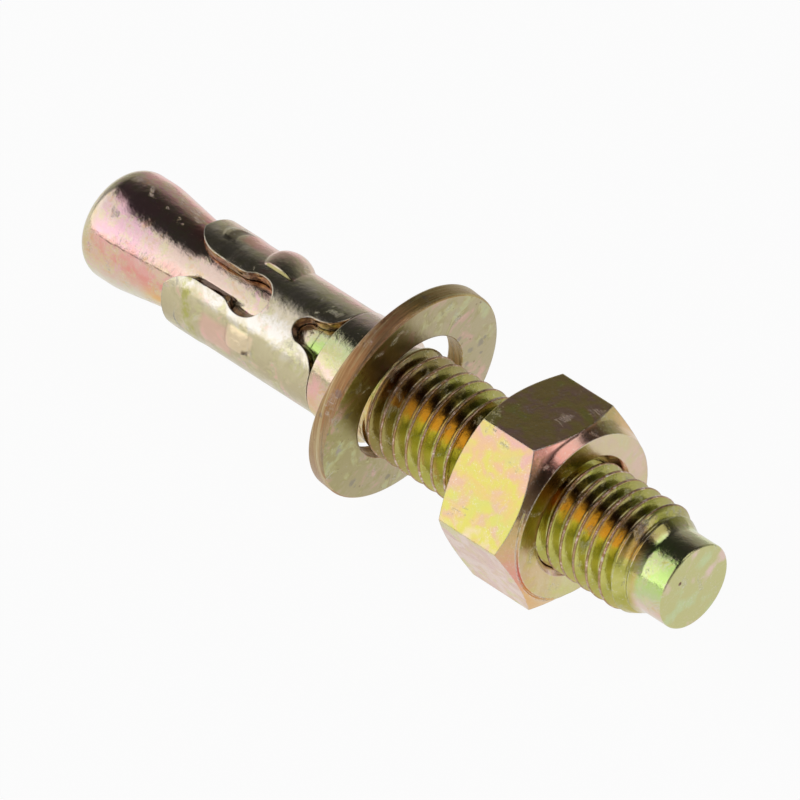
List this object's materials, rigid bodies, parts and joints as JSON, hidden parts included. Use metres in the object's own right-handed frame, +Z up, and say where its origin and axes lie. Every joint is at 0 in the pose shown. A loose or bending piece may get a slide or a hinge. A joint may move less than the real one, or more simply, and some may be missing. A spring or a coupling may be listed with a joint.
{
  "type": "wedge anchor",
  "caption": "Wedge anchor for concrete: a threaded stud with an expansion cone, a slotted clip round its neck, a loose washer and a hex nut, lying at rest.",
  "frame": {"origin": "centre of the bounding box's foot, on the surface the anchor lies on", "axes": "+X along the stud towards the impact point, dipping 3.85 degrees as the anchor lies; +Y to the left when looking along +X; +Z up"},
  "size_m": [0.0804, 0.024, 0.0238],
  "materials": {
    "stud_plating": "yellow-passivated zinc plating, satin to bright, iridescent",
    "clip_plating": "yellow-passivated zinc plating, satin, iridescent",
    "washer_plating": "yellow-passivated zinc plating, dull satin, pitted",
    "nut_plating": "yellow-passivated zinc plating, bright, iridescent, rubbed edges"
  },
  "bodies": {
    "stud": {"stud": "stud_plating"},
    "clip": {"expansion_clip": "clip_plating"},
    "washer": {"washer": "washer_plating"},
    "nut": {"hex_nut": "nut_plating"}
  },
  "joints": [
    {"name": "nut_travel", "type": "slide", "parent": "stud", "child": "nut", "axis": [0.9977, 0, -0.0672], "range_m": [-0.00525, 0.00875]},
    {"name": "washer_slide", "type": "slide", "parent": "stud", "child": "washer", "axis": [0.9977, 0, -0.0672], "range_m": [-0.0115, 0.0065]},
    {"name": "clip_turn", "type": "hinge", "parent": "stud", "child": "clip", "pos_m": [-0.01725, -0.00025, 0.01224], "axis": [0.9977, 0, -0.0672], "continuous": true}
  ]
}
